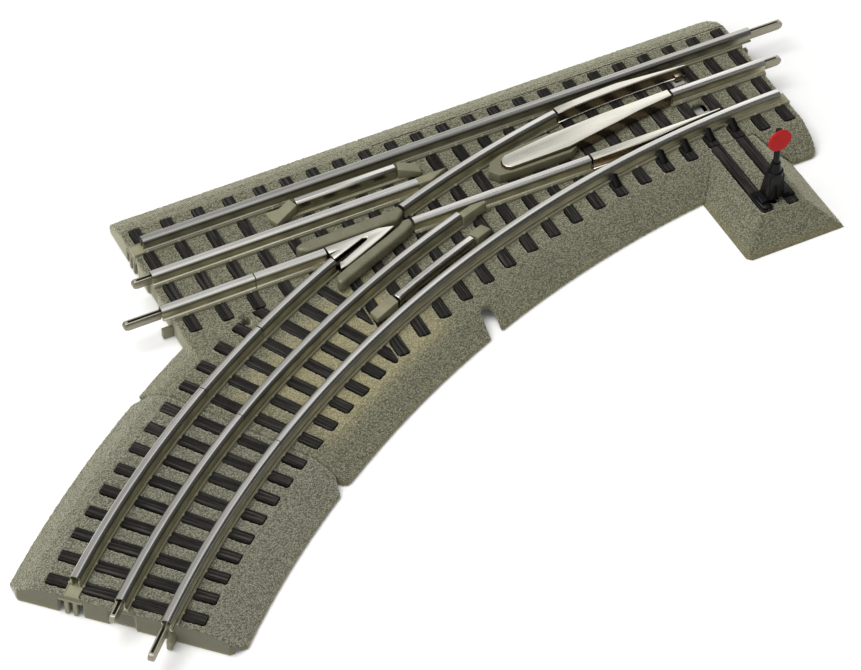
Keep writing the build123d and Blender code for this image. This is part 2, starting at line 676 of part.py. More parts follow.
def stock_zone(y=None, offset=None):
    """A stock rail with clearance all round, to nest a point rail against."""
    half = HEAD_HALF + POINT_CLEAR
    foot = FOOT_HALF + POINT_CLEAR
    shape = [(-foot, 5), (foot, 5), (foot, SEAT_Z + 1), (half, SEAT_Z + 3), (half, 20)]
    shape += [(-half, 20), (-half, SEAT_Z + 3), (-foot, SEAT_Z + 1)]
    if offset is None:
        return straight_bar(shape, y, HEEL_X - 10, 10)
    return curved_bar(shape, offset, 0, 15)


def seat_clear(strip):
    low = 5
    half = SEAT_HALF + 0.25
    box = [(-half, low), (half, low), (half, SEAT_Z + 0.1), (-half, SEAT_Z + 0.1)]
    return strip(box)


def pivot_block(x, y):
    """The solid heel inside the channel, bored for its pivot."""
    block = slab(x - 1.6, x + 2.4, y - 1.35, y + 1.35, POINT_BASE, POINT_BASE + 2.0)
    return block


def drive_peg(x, y):
    """The peg under a point rail that the throw bar carries along."""
    block = slab(x - 1.5, x + 1.5, y - 0.9, y + 0.9, POINT_BASE, POINT_BASE + 2.2)
    peg = Pos(x, y, (BAR_Z[1] + 0.6 + POINT_BASE + 1) / 2) * Cylinder(
        DRIVE_R, POINT_BASE + 1 - BAR_Z[1] - 0.6
    )
    return block, peg


def point_rail(bar, zone, under, pivot_y, peg_y):
    trim = slab(TIP_X, 20, -60, 60, 0, 30)
    point = bar - zone - under - trim
    block, peg = drive_peg(BAR_X, peg_y)
    point = point.fuse(pivot_block(PIVOT_X, pivot_y), block - zone - trim, peg)
    point = point - Pos(PIVOT_X, pivot_y, POINT_BASE) * Cylinder(PIVOT_R + HINGE_FIT, 3.4)
    return max(point.solids(), key=lambda s: s.volume)


NEAR_HEEL_Y = -RAIL_Y
NEAR_PEG_Y = -RAIL_Y + 2.05     # under the near point, which rests closed
FAR_PEG_CLOSED = RAIL_Y - 3.3   # under the far point, when it is closed
far_heel = on_curve(degrees(asin(-PIVOT_X / (CURVE_R + RAIL_Y))), RAIL_Y)
FAR_HEEL_Y = far_heel[1]
near_point = point_rail(
    straight_bar(channel_section(), -RAIL_Y, HEEL_X, TIP_X),
    stock_zone(offset=-RAIL_Y),
    seat_clear(lambda box: curved_bar(box, -RAIL_Y, 0, 15)),
    NEAR_HEEL_Y,
    NEAR_PEG_Y,
)
save("near_point", near_point)
far_closed = point_rail(
    curved_bar(channel_section(), RAIL_Y, 1.0, HEEL_DEG),
    stock_zone(y=RAIL_Y),
    seat_clear(lambda box: straight_bar(box, RAIL_Y, -100, 5)),
    FAR_HEEL_Y,
    FAR_PEG_CLOSED,
)
far_pivot = Axis((PIVOT_X, FAR_HEEL_Y, 0), (0, 0, 1))
save("far_point", far_closed.rotate(far_pivot, -THROW_ANGLE))
pivot_top = POINT_BASE + 1.6
save(
    "heel_pivots",
    *[Pos(PIVOT_X, y, (TIE_Z + pivot_top) / 2) * Cylinder(PIVOT_R, pivot_top - TIE_Z)
      for y in (NEAR_HEEL_Y, FAR_HEEL_Y)],
)

# ---------------------------------------------------------------- throw bar and its cover
CRANK_PIN_R = 0.7
CRANK_Z = (BAR_Z[1] + 0.25, TIE_LOW - 0.15)
crank_x = CRANK_R * cos(radians(TARGET_ANGLE / 2))
crank_y = CRANK_R * sin(radians(TARGET_ANGLE / 2))
FAR_PEG_Y = FAR_PEG_CLOSED - (BAR_X - PIVOT_X) * sin(radians(THROW_ANGLE))
UPRIGHTS = {"near": (-19.6, -9.9, NEAR_PEG_Y), "far": (7.4, 12.0, FAR_PEG_Y)}


def bar_upright(y0, y1, peg_y):
    """A block that rises through the deck and carries a point rail's peg."""
    block = slab(BAR_X - 2.2, BAR_X + 2.2, y0, y1, BAR_Z[1] - 0.5, UPRIGHT_TOP)
    slot = slab(
        BAR_X - DRIVE_R - 0.55, BAR_X + DRIVE_R + 0.55,
        peg_y - DRIVE_R - 0.12, peg_y + DRIVE_R + 0.12, BAR_Z[1], UPRIGHT_TOP + 1,
    )
    return block - slot


bar = slab(BAR_X - BAR_HALF, BAR_X + BAR_HALF, MAST_Y - 5.0, 15.0, *BAR_Z)
bar_end = slab(MAST_X - 3.4, MAST_X + 5.2, MAST_Y - 5.0, MAST_Y + 1.5, *BAR_Z)
bar = bar.fuse(bar_end, *[bar_upright(*u) for u in UPRIGHTS.values()])
pin_slot = slab(
    MAST_X + crank_x - CRANK_PIN_R - 0.2, MAST_X + CRANK_R + CRANK_PIN_R + 0.2,
    MAST_Y - crank_y - CRANK_PIN_R - 0.14, MAST_Y - crank_y + CRANK_PIN_R + 0.14, 0, 10,
)
bar = bar - pin_slot
NOTCH_AT = -37.5
for y in (NOTCH_AT, NOTCH_AT - THROW):
    edge = BAR_X - BAR_HALF
    bar = bar - prism([(edge - 1, y - 2.0), (edge - 1, y + 2.0), (edge + 0.8, y)], 0, 10)
save("throw_bar", bar)

cover = slab(*COVER_X, *COVER_Y, *COVER_Z)
for y0, y1 in ((-48.0, -43.0), (-32.0, -22.0), (0.0, 12.0)):
    cover = cover.fuse(slab(BAR_X - 2.0, BAR_X + 2.0, y0, y1, COVER_Z[1] - 0.2, BAR_Z[0] - 0.06))
    for side in (-1, 1):
        x = BAR_X + side * (BAR_HALF + 0.8)
        cover = cover.fuse(slab(x - 0.5, x + 0.5, y0, y1, COVER_Z[1] - 0.2, BAR_Z[1] - 0.4))
SPRING_POSTS = ((-41.0, -45.5), (-41.0, -29.5))
for x, y in SPRING_POSTS:
    cover = cover.fuse(Pos(x, y, 3.4) * Cylinder(0.9, 3.0))
screw_holes = [Pos(x, y, 2) * Cylinder(SCREW_R + 0.1, 4) for x, y in SCREW_SITES]
save("mechanism_cover", cover - joined(*screw_holes))


def screw(x, y):
    head = Pos(x, y, COVER_Z[0] - 0.42) * Cylinder(1.8, 0.8)
    shank = Pos(x, y, 2.8) * Cylinder(SCREW_R - 0.03, 4.4)
    cross = Pos(x, y, COVER_Z[0] - 0.75) * (Box(2.2, 0.5, 0.5) + Box(0.5, 2.2, 0.5))
    return head.fuse(shank) - cross


save("cover_screws", *[screw(x, y) for x, y in SCREW_SITES])

spring_line = Polyline(
    (-39.85, -46.2), (-39.0, -42.0), (-36.2, -40.0), (BAR_X - BAR_HALF - 0.4, NOTCH_AT),
    (-36.2, -35.0), (-39.0, -33.0), (-39.85, -28.8),
)
strip = trace(spring_line, line_width=0.35)
save("detent_spring", Pos(0, 0, BAR_Z[0] + 0.1) * extrude(strip, amount=1.5))

# ---------------------------------------------------------------- switch stand and target
TOWER_BASE = (7.6, 5.4)
TOWER_TOP = (5.6, 4.0)
TOWER_FOOT = 11.4
TOWER_Z = 22.0
TOWER_X = MAST_X - 0.7
HUB_Z = 27.0
MAST_R = 1.2
MAST_TOP = 43.2
DISC_Z = 38.8
DISC_R = 4.75

tower = loft([
    Pos(TOWER_X, MAST_Y, TOWER_FOOT) * Rectangle(*TOWER_BASE).face(),
    Pos(MAST_X, MAST_Y, TOWER_Z) * Rectangle(*TOWER_TOP).face(),
])
for k, front, lean in ((LONG_TIES[0], 5.0, 0.0), (LONG_TIES[1], 2.6, -1.7)):
    x = leg_ties()[k]
    foot = slab(x - 1.95, x + 1.95, MAST_Y - front, MAST_Y + 4.5, TIE_Z + 0.03, TIE_Z + 0.9)
    leg_x = x + lean
    leg = slab(leg_x - 1.2, leg_x + 1.2, MAST_Y - 2.6, MAST_Y + 2.6, TIE_Z + 0.5, TOWER_FOOT + 1)
    tower = tower.fuse(foot, leg)
flange = Pos(MAST_X, MAST_Y, TOWER_Z + 0.5) * Cylinder(3.0, 1.6)
hub = Pos(MAST_X, MAST_Y, (TOWER_Z + HUB_Z) / 2 + 0.4) * Cone(2.5, 1.7, HUB_Z - TOWER_Z)
tower = tower.fuse(flange, hub) - Pos(MAST_X, MAST_Y, 20) * Cylinder(MAST_R + 0.05, 30)
groove = slab(TOWER_X - 0.6, TOWER_X + 0.6, MAST_Y - 6, MAST_Y - 2.2, 9, TOWER_Z - 4)
save("stand_tower", tower - groove)

mast = Pos(MAST_X, MAST_Y, (CRANK_Z[0] + MAST_TOP) / 2) * Cylinder(MAST_R, MAST_TOP - CRANK_Z[0])
mast = mast - slab(MAST_X - 3, MAST_X + 3, MAST_Y - 3, MAST_Y - 0.5, DISC_Z - DISC_R, DISC_Z + DISC_R)
save("target_mast", mast)
disc = Pos(MAST_X, MAST_Y - 1.05, DISC_Z) * Rot(90, 0, 0) * Cylinder(DISC_R, 1.0)
save("target_disc", fillet(disc.edges(), 0.3))
thick = CRANK_Z[1] - CRANK_Z[0]
arm = Pos(crank_x / 2, -crank_y / 2, 0) * Rot(0, 0, -TARGET_ANGLE / 2) * Box(CRANK_R, 2.4, thick)
arm = arm.fuse(Cylinder(1.9, thick))
arm = arm.fuse(Pos(crank_x, -crank_y, 0) * Cylinder(1.2, thick))
arm = Pos(MAST_X, MAST_Y, (CRANK_Z[0] + CRANK_Z[1]) / 2) * arm
arm = arm.fuse(Pos(MAST_X + crank_x, MAST_Y - crank_y, 5.0) * Cylinder(CRANK_PIN_R, 2.0))
save("target_crank", arm - Pos(MAST_X, MAST_Y, 7) * Cylinder(MAST_R, 10))

# ---------------------------------------------------------------- small parts
BRACED_TIES = (15, 17, 18, 19, 20)
BRACE_H = 3.0
BRACE_W = 2.8


def brace(x):
    """A black gusset as wide as most of its tie, which props the near stock rail."""
    r = CURVE_R - RAIL_Y
    y = sqrt(r * r - x * x) - CURVE_R - FOOT_HALF - 0.42
    low = TIE_Z + 0.03
    step = SEAT_Z + 0.05
    side = [
        (y, step), (y, TIE_Z + BRACE_H), (y - 2.2, TIE_Z + 1.6), (y - 4.4, low + 0.3),
        (y - 4.4, low), (y - 0.75, low), (y - 0.75, step),
    ]
    wing = Pos(x - BRACE_W / 2, 0, 0) * extrude(section(side), amount=BRACE_W)
    rib = Pos(x - 0.3, 0, 0.35) * extrude(section(side), amount=0.6)
    return wing.fuse(rib)


save("rail_braces", *[brace(leg_ties()[k]) for k in BRACED_TIES])
save(
    "bus_strips",
    slab(CENTRE_X, WEDGE_X - 15, -1.2, 1.2, RUNNER_Z + 0.2, RUNNER_Z + 0.6),
    slab(-136.0, -55.0, 12.0, 14.0, RUNNER_Z + 0.2, RUNNER_Z + 0.6),
)
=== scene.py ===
import math

import bmesh
import bpy
from mathutils import Matrix, Vector, noise


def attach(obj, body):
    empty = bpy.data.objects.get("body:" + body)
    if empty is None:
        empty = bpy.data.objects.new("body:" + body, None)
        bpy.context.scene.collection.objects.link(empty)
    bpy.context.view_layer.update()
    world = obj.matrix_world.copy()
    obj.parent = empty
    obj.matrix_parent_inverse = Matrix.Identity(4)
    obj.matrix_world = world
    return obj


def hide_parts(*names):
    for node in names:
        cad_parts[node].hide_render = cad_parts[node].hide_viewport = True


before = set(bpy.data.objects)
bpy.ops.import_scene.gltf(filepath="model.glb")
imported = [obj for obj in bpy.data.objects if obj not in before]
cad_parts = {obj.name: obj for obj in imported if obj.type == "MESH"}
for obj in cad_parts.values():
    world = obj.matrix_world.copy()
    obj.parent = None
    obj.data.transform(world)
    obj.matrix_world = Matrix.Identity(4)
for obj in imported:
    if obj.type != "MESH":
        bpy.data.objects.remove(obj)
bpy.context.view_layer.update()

# ---------------------------------------------------------------- sizes, in metres
MM = 0.001
INCH = 0.0254
CURVE_R = 18 * INCH            # centre-line radius of the branch
LENGTH = 10 * INCH             # length of the straight route
SWITCH_ANGLE = 33.75           # where the moulded switch ends on the branch
TOTAL_ANGLE = 45.0
DECK_Z = 9.2 * MM
SUNK_Z = 8.95 * MM             # where the ballast passes under the smooth seats
TIE_Z = 9.7 * MM
TIE_LOW = 6.8 * MM
RAIL_Y = 17.725 * MM           # centre line to a running rail
STAGGER = 4.0 * MM             # how far the outer rails overrun the end of the roadbed
STAGGER_DEG = math.degrees(STAGGER / CURVE_R)
GAP = 0.4 * MM
TIE_W = 4.3 * MM
END_TIE = 5.2 * MM             # from the through end to its first tie
WIDE_PITCH = 12.45 * MM        # ties of the through leg
WIDE_TIES = 5
TIE_PITCH = 10.8 * MM          # the other straight ties
STRAIGHT_TIES = 23
END_PITCH = 1.25               # degrees between the ties of the end section
SWITCH_PITCH = 1.298           # degrees between the radial ties of the switch
END_TIES = 9
RADIAL_TIES = 16
STAND_TIES = (19, 20)          # straight ties that reach out to the stand
TIE_HALF = 28.4 * MM
SEAT_HALF = 2.65 * MM
SEAT_FOOT = 8.9                # in mm, where the seats start, just below the deck
SEAT_TOP = 9.97                # in mm
RIDGE_TOP = SEAT_TOP + 0.3
SPIKE_OFF = 2.5                # in mm, from a rail's centre line to its spikes
SPIKE_FOOT = 9.9
GUARD_Y = 10.7 * MM
GUARD_SEAT_HALF = 3.25
GUARD_SEAT_X = (-202.5 * MM, -141.5 * MM)
HEEL_X = -84.0 * MM
HEEL_GAP = 0.9 * MM
SLOT_X = (-34.5 * MM, -28.7 * MM)      # openings in the deck for the throw bar's uprights
FROG_X = -193.0 * MM
FROG_DEG = 23.9
WING_X = -158.0 * MM
WING_DEG = 19.5
CUT_X = -221.5 * MM
CUT_DEG = 29.05
CENTRE_X = -147.4 * MM
CENTRE_DEG = 18.05
WEDGE_X = -40.2 * MM
HEEL_DEG = math.degrees(math.asin(-HEEL_X / (CURVE_R + RAIL_Y)))
HEEL_GAP_DEG = math.degrees(HEEL_GAP / (CURVE_R + RAIL_Y))
JOINT_DEG = 0.02               # half of the hairline between two rails that meet


def inner_angle(x):
    """The angle along the branch's inner rail at a distance along the straight route."""
    return math.degrees(math.asin(-x / (CURVE_R - RAIL_Y)))


# ---------------------------------------------------------------- node trees
class Tree:
    """A material's node tree, with short calls for the nodes used here."""

    def __init__(self, name, **values):
        self.material = bpy.data.materials.new(name)
        self.material.use_nodes = True
        self.nodes = self.material.node_tree.nodes
        self.links = self.material.node_tree.links
        self.shader = self.nodes["Principled BSDF"]
        self.place = self.nodes.new("ShaderNodeTexCoord").outputs["Object"]
        for key, value in values.items():
            self.shader.inputs[key.replace("_", " ")].default_value = value

    def feed(self, socket, value):
        if isinstance(value, (int, float)):
            socket.default_value = value
        elif isinstance(value, tuple):
            socket.default_value = (*value, 1.0)
        else:
            self.links.new(value, socket)

    def noise(self, scale, detail=3.0, rough=0.5, place=None):
        n = self.nodes.new("ShaderNodeTexNoise")
        n.inputs["Scale"].default_value = scale
        n.inputs["Detail"].default_value = detail
        n.inputs["Roughness"].default_value = rough
        self.links.new(place or self.place, n.inputs["Vector"])
        return n.outputs["Fac"]

    def cells(self, scale, output="Distance"):
        n = self.nodes.new("ShaderNodeTexVoronoi")
        n.inputs["Scale"].default_value = scale
        self.links.new(self.place, n.inputs["Vector"])
        return n.outputs[output]

    def stretched(self, scale, place=None):
        n = self.nodes.new("ShaderNodeMapping")
        n.inputs["Scale"].default_value = scale
        self.links.new(place or self.place, n.inputs["Vector"])
        return n.outputs["Vector"]

    def ramp(self, value, *stops):
        n = self.nodes.new("ShaderNodeValToRGB")
        while len(n.color_ramp.elements) < len(stops):
            n.color_ramp.elements.new(0.5)
        for element, (at, colour) in zip(n.color_ramp.elements, stops):
            element.position = at
            element.color = (*colour, 1.0)
        self.links.new(value, n.inputs["Fac"])
        return n.outputs["Color"]

    def grey(self, value, *stops):
        return self.ramp(value, *[(at, (v, v, v)) for at, v in stops])

    def math(self, kind, a, b):
        n = self.nodes.new("ShaderNodeMath")
        n.operation = kind
        self.feed(n.inputs[0], a)
        self.feed(n.inputs[1], b)
        return n.outputs[0]

    def mix(self, kind, factor, a, b):
        n = self.nodes.new("ShaderNodeMix")
        n.data_type = "RGBA"
        n.blend_type = kind
        self.feed(n.inputs[0], factor)
        self.feed(n.inputs[6], a)
        self.feed(n.inputs[7], b)
        return n.outputs[2]

    def axis(self, letter, place=None):
        n = self.nodes.new("ShaderNodeSeparateXYZ")
        self.links.new(place or self.place, n.inputs[0])
        return n.outputs[letter]

    def facing_up(self):
        n = self.nodes.new("ShaderNodeNewGeometry")
        return self.axis("Z", n.outputs["Normal"])

    def attribute(self, name):
        n = self.nodes.new("ShaderNodeAttribute")
        n.attribute_name = name
        return n.outputs["Vector"]

    def bump(self, height, strength, distance):
        n = self.nodes.new("ShaderNodeBump")
        n.inputs["Strength"].default_value = strength
        n.inputs["Distance"].default_value = distance
        self.links.new(height, n.inputs["Height"])
        self.links.new(n.outputs["Normal"], self.shader.inputs["Normal"])

    def colour(self, value):
        self.links.new(value, self.shader.inputs["Base Color"])

    def rough(self, value):
        self.links.new(value, self.shader.inputs["Roughness"])


def times(tint, k):
    return tuple(k * c for c in tint)


def ballast_material(name, tint, warm):
    """Speckled moulded stone, yellower along its foot and on part of the switch's deck."""
    t = Tree(name, Roughness=0.92, Specular_IOR_Level=0.12, Sheen_Weight=0.75, Sheen_Roughness=0.4,
             Sheen_Tint=(0.98, 0.95, 0.72, 1.0))
    stones = t.axis("X", t.cells(1750.0, "Color"))
    gaps = t.cells(1750.0)
    speckle = t.noise(2600.0, 2.0, 0.6)
    value = t.math("SUBTRACT", t.math("ADD", t.math("MULTIPLY", stones, 0.3), speckle), gaps)
    base = t.ramp(
        value,
        (0.00, times(tint, 0.50)), (0.12, times(tint, 0.84)), (0.26, times(tint, 1.10)),
        (0.42, times(tint, 1.36)), (0.62, times(tint, 1.85)),
    )
    broad = t.grey(t.noise(40.0, 2.0), (0.3, 0.96), (0.7, 1.04))
    base = t.mix("MULTIPLY", 1.0, base, broad)
    if warm:
        y = t.math("ADD", t.axis("Y"), CURVE_R)
        reach = t.math("ADD", t.math("POWER", t.axis("X"), 2.0), t.math("POWER", y, 2.0))
        reach = t.math("SQRT", reach, 0.0)
        drift = t.math("MULTIPLY", t.math("SUBTRACT", t.noise(60.0, 2.0), 0.5), 0.02)
        sine = t.math("ADD", t.math("DIVIDE", t.math("MULTIPLY", t.axis("X"), -1.0), reach), drift)
        along = t.grey(sine, (0.375, 0.0), (0.405, 0.85), (0.520, 0.85), (0.548, 0.0))
        edge = t.math("MULTIPLY", t.math("SUBTRACT", t.noise(400.0, 3.0), 0.5), 0.006)
        across = t.math("ADD", t.math("SUBTRACT", reach, CURVE_R - 0.1), edge)
        across = t.grey(across, (0.066, 0.0), (0.0695, 1.0), (0.106, 1.0), (0.113, 0.0))
        mask = t.math("MULTIPLY", along, across)
        flat = t.mix("MULTIPLY", 0.6, (0.330, 0.295, 0.168), t.mix("DIVIDE", 1.0, base, tint))
        base = t.mix("MIX", mask, base, flat)
    upright = t.grey(t.math("ABSOLUTE", t.facing_up(), 0.0), (0.12, 1.0), (0.4, 0.0))
    face = t.mix("MULTIPLY", 1.0, times(tint, 0.62), t.grey(t.noise(500.0, 4.0), (0.3, 0.93), (0.7, 1.05)))
    base = t.mix("MIX", t.math("MULTIPLY", upright, 0.95), base, face)
    height = t.math("MULTIPLY", t.axis("Z"), 100.0)
    foot = t.grey(height, (0.08, 0.5), (0.26, 0.0))
    base = t.mix("MIX", foot, base, times((0.20, 0.175, 0.08), 0.8))
    t.colour(base)
    relief = t.math("SUBTRACT", t.math("MULTIPLY", speckle, 0.6), gaps)
    relief = t.math("MULTIPLY", relief, t.math("SUBTRACT", 1.0, upright))
    t.bump(relief, 1.0, 0.45 * MM)
    return t.material


def tie_material():
    """Dark brown moulded wood grain that runs along each tie."""
    t = Tree("tie_plastic", Roughness=0.8, Specular_IOR_Level=0.12)
    grain = t.attribute("grain")
    lines = t.noise(1.0, 4.0, 0.65, t.stretched((1750.0, 50.0, 10.0), grain))
    fleck = t.noise(900.0, 3.0)
    base = t.ramp(lines, (0.38, (0.0072, 0.0066, 0.0058)), (0.48, (0.0135, 0.0125, 0.0112)),
                  (0.57, (0.028, 0.0262, 0.0235)), (0.66, (0.060, 0.057, 0.052)))
    dust = t.grey(fleck, (0.55, 0.0), (0.75, 0.18))
    base = t.mix("MIX", dust, base, (0.06, 0.057, 0.045))
    t.colour(base)
    t.rough(t.grey(lines, (0.3, 0.86), (0.7, 0.7)))
    t.bump(lines, 0.8, 0.3 * MM)
    return t.material


def plastic_material(name, tint, rough, speck=0.12, dust=0.0, gloss=0.3):
    """Moulded plastic: a faint mottle, a fine satin texture and dusty upper faces."""
    t = Tree(name, Roughness=rough, Specular_IOR_Level=gloss)
    mottle = t.grey(t.noise(220.0, 4.0, 0.6), (0.3, 1 - speck), (0.7, 1 + speck))
    base = t.mix("MULTIPLY", 1.0, tint, mottle)
    if dust:
        up = t.grey(t.facing_up(), (0.6, 0.0), (0.95, dust))
        patch = t.grey(t.noise(500.0, 4.0, 0.7), (0.45, 0.0), (0.7, 1.0))
        base = t.mix("MIX", t.math("MULTIPLY", up, patch), base, (0.25, 0.235, 0.17))
    t.colour(base)
    t.rough(t.grey(t.noise(700.0, 4.0, 0.6), (0.3, rough - 0.06), (0.7, rough + 0.1)))
    t.bump(t.noise(1800.0, 3.0), 0.12, 0.08 * MM)
    return t.material


def metal_material(name, top, side, rough, grain=(40.0, 900.0, 900.0), stain=0.1, painted_shade_below=0.0):
    """Rolled metal: lighter on its upward faces, partly polish where the wheels run and partly a painted
    highlight; duller and darker down its sides, a painted shade for the dark surroundings they reflect.

    Below a given height it is painted dark, a painted shade as inside a slot."""
    t = Tree(name, Metallic=1.0, Roughness=rough)
    streak = t.noise(1.0, 4.0, 0.6, t.stretched(grain))
    cloud = t.noise(140.0, 4.0, 0.6)
    # Upward faces take the top colour, partly polish and partly a painted highlight; the other faces take
    # the side colour, a painted shade.
    worn = t.grey(t.facing_up(), (0.62, 0.0), (0.9, 1.0))
    base = t.mix("MIX", worn, side, top)
    # Painted shade: below the given height the colour turns near black, as in the shadow inside a slot.
    if painted_shade_below:
        height = t.math("MULTIPLY", t.axis("Z"), 1.0 / (20 * MM))
        level = painted_shade_below / (20 * MM)
        base = t.mix("MIX", t.grey(height, (level - 0.02, 1.0), (level, 0.0)), base, (0.03, 0.026, 0.018))
    shade = t.grey(t.math("ADD", t.math("MULTIPLY", streak, 0.5), t.math("MULTIPLY", cloud, 0.5)),
                   (0.3, 1 - stain), (0.7, 1.0))
    t.colour(t.mix("MULTIPLY", 1.0, base, shade))
    t.rough(t.grey(streak, (0.25, rough + 0.1), (0.75, rough - 0.05)))
    t.bump(streak, 0.025, 0.05 * MM)
    return t.material


def rail_material(name, top, side, web):
    """Drawn steel: fine lines along the rail; a crown lighter on its upward faces, partly polish and
    partly a painted highlight; head sides painted dark as painted shade; and below them a lighter olive
    web, a painted reflection of the deck.
    """
    t = Tree(name, Metallic=1.0)
    lines = t.noise(1.0, 3.0, 0.55, t.stretched((1500.0, 14.0, 700.0), t.attribute("grain")))
    up = t.facing_up()
    height = t.math("MULTIPLY", t.axis("Z"), 50.0)
    # Painted reflection and painted shade: below about 13.3 mm the web takes an olive colour that stands
    # for the deck it reflects, and above it the head's sides are painted dark.
    base = t.mix("MIX", t.grey(height, (0.655, 0.0), (0.68, 1.0)), web, side)
    # Upward faces take the crown colour: partly polish, partly a painted highlight.
    base = t.mix("MIX", t.grey(up, (0.50, 0.0), (0.82, 1.0)), base, top)
    base = t.mix("MULTIPLY", 1.0, base, t.grey(lines, (0.36, 0.70), (0.58, 1.0)))
    t.colour(t.mix("MULTIPLY", 1.0, base, t.grey(t.noise(90.0, 3.0), (0.3, 0.93), (0.7, 1.0))))
    t.rough(t.grey(up, (0.3, 0.48), (0.8, 0.2)))
    t.bump(lines, 0.05, 0.05 * MM)
    return t.material


BALLAST = ballast_material("ballast", (0.168, 0.166, 0.114), True)
END_BALLAST = ballast_material("end_ballast", (0.184, 0.184, 0.138), False)
TIE = tie_material()
OLIVE = plastic_material("olive_plastic", (0.205, 0.196, 0.125), 0.5, 0.12, 0.2)
# The rail seats take a lighter copy of the olive plastic: painted light, which lifts them out of the
# rails' shadow.
SEAT = plastic_material("seat_plastic", (0.260, 0.250, 0.165), 0.5, 0.10, 0.2)
DARK_OLIVE = plastic_material("wing_plastic", (0.150, 0.144, 0.092), 0.30, 0.10, gloss=0.5)
# Each metal below has a top colour, partly polish and partly a painted highlight, and a darker side colour
# that is painted shade.
STEEL = metal_material("guard_steel", (0.84, 0.83, 0.79), (0.30, 0.285, 0.22), 0.22)
# Rail colours: crown (partly a painted highlight), head side (painted shade) and web (a painted reflection
# of the deck).
RAIL = rail_material("rail_steel", (0.93, 0.92, 0.88), (0.24, 0.23, 0.19), (0.66, 0.62, 0.44))
# A darker copy of the rail steel, for the far stock rail only: painted shade.
SHADED_RAIL = rail_material("painted_shade_rail_steel", (0.57, 0.565, 0.54), (0.16, 0.155, 0.13), (0.42, 0.40, 0.30))
NICKEL = metal_material("nickel", (0.95, 0.93, 0.83), (0.26, 0.20, 0.14), 0.24, (60.0, 500.0, 500.0), 0.04)
# The frog is painted dark below 14.3 mm, a painted shade inside its slots.
FROG = metal_material("frog_nickel", (0.95, 0.93, 0.85), (0.60, 0.55, 0.42), 0.28, (60.0, 500.0, 500.0),
                      0.05, 14.3 * MM)
PIN_STEEL = metal_material("pin_steel", (0.50, 0.475, 0.39), (0.32, 0.295, 0.23), 0.36)
SMALL_STEEL = metal_material("small_steel", (0.55, 0.54, 0.52), (0.40, 0.39, 0.37), 0.32)
BRASS = metal_material("brass_strip", (0.72, 0.52, 0.22), (0.55, 0.38, 0.15), 0.3)
GREY = plastic_material("grey_plastic", (0.36, 0.36, 0.33), 0.5)
BLACK = plastic_material("black_plastic", (0.0045, 0.0045, 0.005), 0.18, 0.25, gloss=0.14)
RED = plastic_material("red_plastic", (0.40, 0.017, 0.018), 0.35, 0.06, gloss=0.04)


# ---------------------------------------------------------------- mesh helpers
def finish_mesh(name, bm, material, nodes=(), sharp=38.0):
    """Turns a bmesh into a fixed piece that stands for its CAD nodes."""
    mesh = bpy.data.meshes.new(name)
    bmesh.ops.recalc_face_normals(bm, faces=bm.faces)
    bm.to_mesh(mesh)
    bm.free()
    return place_mesh(name, mesh, material, nodes, sharp=sharp)


def place_mesh(name, mesh, material, nodes, body="root", sharp=38.0):
    """Gives a mesh its material, its body and the CAD nodes it stands for."""
    for polygon in mesh.polygons:
        polygon.use_smooth = True
        polygon.material_index = 0
    mesh.set_sharp_from_angle(angle=math.radians(sharp))
    mesh.materials.clear()
    mesh.materials.append(material)
    piece = bpy.data.objects.new(name, mesh)
    bpy.context.scene.collection.objects.link(piece)
    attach(piece, body)
    if nodes:
        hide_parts(*nodes)
    return piece


def evaluated_mesh(mesh, kind, **settings):
    """The mesh after one modifier."""
    helper = bpy.data.objects.new("helper", mesh)
    bpy.context.scene.collection.objects.link(helper)
    modifier = helper.modifiers.new("m", kind)
    for key, value in settings.items():
        setattr(modifier, key, value)
    graph = bpy.context.evaluated_depsgraph_get()
    result = bpy.data.meshes.new_from_object(helper.evaluated_get(graph))
    bpy.data.objects.remove(helper)
    return result


def clean_copy(node):
    """A CAD node's mesh with its flat faces whole again."""
    bm = bmesh.new()
    bm.from_mesh(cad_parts[node].data)
    bmesh.ops.remove_doubles(bm, verts=bm.verts, dist=0.002 * MM)
    bmesh.ops.dissolve_limit(bm, angle_limit=math.radians(0.1), verts=bm.verts, edges=bm.edges)
    return bm


def rounded(node, material, body="root", bevel=0.15, segments=2):
    """A CAD node with its edges rounded, as moulding or rolling leaves them."""
    bm = clean_copy(node)
    mesh = bpy.data.meshes.new(node)
    bm.to_mesh(mesh)
    bm.free()
    mesh = evaluated_mesh(
        mesh, "BEVEL", width=bevel * MM, segments=segments, limit_method="ANGLE",
        angle_limit=math.radians(30.0), use_clamp_overlap=True,
    )
    return place_mesh(node + "_finished", mesh, material, (node,), body, 42.0)


def straight_path(y, x0, x1):
    """Stations along the straight route: a point, and the unit vector across the track."""
    return [((x0, y), (0.0, 1.0)), ((x1, y), (0.0, 1.0))]


def curve_path(offset, a0, a1):
    """Stations along the branch, beside its centre line, between two angles."""
    step = 0.6
    count = max(2, math.ceil((a1 - a0) / step) + 1)
    stations = []
    for k in range(count):
        a = math.radians(a0 + (a1 - a0) * k / (count - 1))
        across = (-math.sin(a), math.cos(a))
        r = CURVE_R + offset
        stations.append(((r * across[0], r * across[1] - CURVE_R), across))
    return stations


def grain_layer(bm):
    """Plan coordinates of a piece's own: across it, along it, and a height or a seed."""
    return bm.verts.layers.float_vector.get("grain") or bm.verts.layers.float_vector.new("grain")


